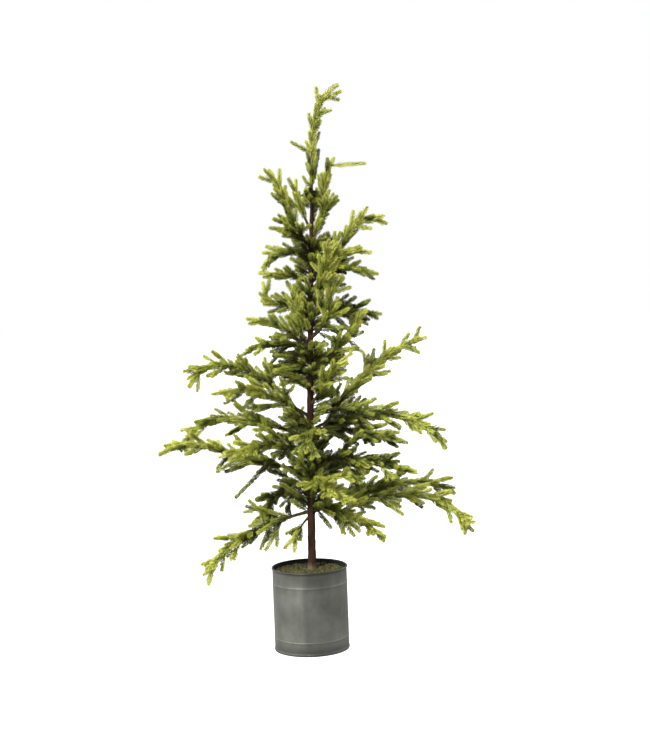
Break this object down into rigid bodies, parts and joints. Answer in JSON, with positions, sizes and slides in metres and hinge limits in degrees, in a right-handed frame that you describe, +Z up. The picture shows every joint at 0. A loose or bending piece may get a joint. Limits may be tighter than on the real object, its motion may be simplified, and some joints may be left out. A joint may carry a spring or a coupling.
{
  "type": "artificial potted spruce",
  "caption": "Slim artificial spruce with a bare wrapped trunk and sparse needle-covered boughs, standing in a round galvanised pot filled to a mossy top.",
  "frame": {"origin": "centre of the pot's flat underside, on the floor", "axes": "+Z up along the pot; the front of the picture looks along +Y, and the trunk leans slightly to +X"},
  "size_m": [0.6431, 0.4901, 1.1888],
  "materials": {
    "zinc": "dull weathered galvanised sheet with a soft mottle",
    "fill": "matt cast weighting, hidden under the moss",
    "moss": "matt dried moss",
    "bark": "matt brown wrapped bark",
    "needles": "matt yellow-green to dark green needles"
  },
  "bodies": {
    "root": {"bough_drooping_right": "bark", "bough_high_left": "bark", "bough_high_right": "bark", "bough_long_left": "bark", "bough_low_back_left": "bark", "bough_low_back_right": "bark", "bough_low_left": "bark", "bough_low_right": "bark", "bough_low_right_front": "bark", "bough_mid_front_left": "bark", "bough_mid_front_right": "bark", "bough_mid_left": "bark", "fill": "fill", "foliage_drooping_right": "needles", "foliage_high_left": "needles", "foliage_high_right": "needles", "foliage_leader": "needles", "foliage_long_left": "needles", "foliage_low_back_left": "needles", "foliage_low_back_right": "needles", "foliage_low_front": "needles", "foliage_low_front_right": "needles", "foliage_low_left": "needles", "foliage_low_right": "needles", "foliage_low_right_front": "needles", "foliage_mid_back": "needles", "foliage_mid_back_right": "needles", "foliage_mid_front_left": "needles", "foliage_mid_front_right": "needles", "foliage_mid_left": "needles", "foliage_mid_left_upper": "needles", "foliage_mid_right_front": "needles", "foliage_sprig_back": "needles", "foliage_sprig_back_high": "needles", "foliage_sprig_back_left": "needles", "foliage_sprig_back_right": "needles", "foliage_sprig_front": "needles", "foliage_sprig_front_high": "needles", "foliage_sprig_front_mid": "needles", "foliage_sprig_front_right_high": "needles", "foliage_sprig_front_rising": "needles", "foliage_sprig_left_curl": "needles", "foliage_sprig_left_hook": "needles", "foliage_sprig_left_level": "needles", "foliage_sprig_left_long": "needles", "foliage_sprig_left_mid": "needles", "foliage_sprig_left_rising": "needles", "foliage_sprig_low": "needles", "foliage_sprig_right_down": "needles", "foliage_sprig_right_high": "needles", "foliage_sprig_right_level": "needles", "foliage_sprig_right_rising": "needles", "foliage_sprig_top_back": "needles", "foliage_sprig_top_left": "needles", "foliage_sprig_top_left_low": "needles", "foliage_sprig_top_right": "needles", "foliage_upper_right": "needles", "moss": "moss", "pot": "zinc", "trunk": "bark"}
  },
  "joints": []
}
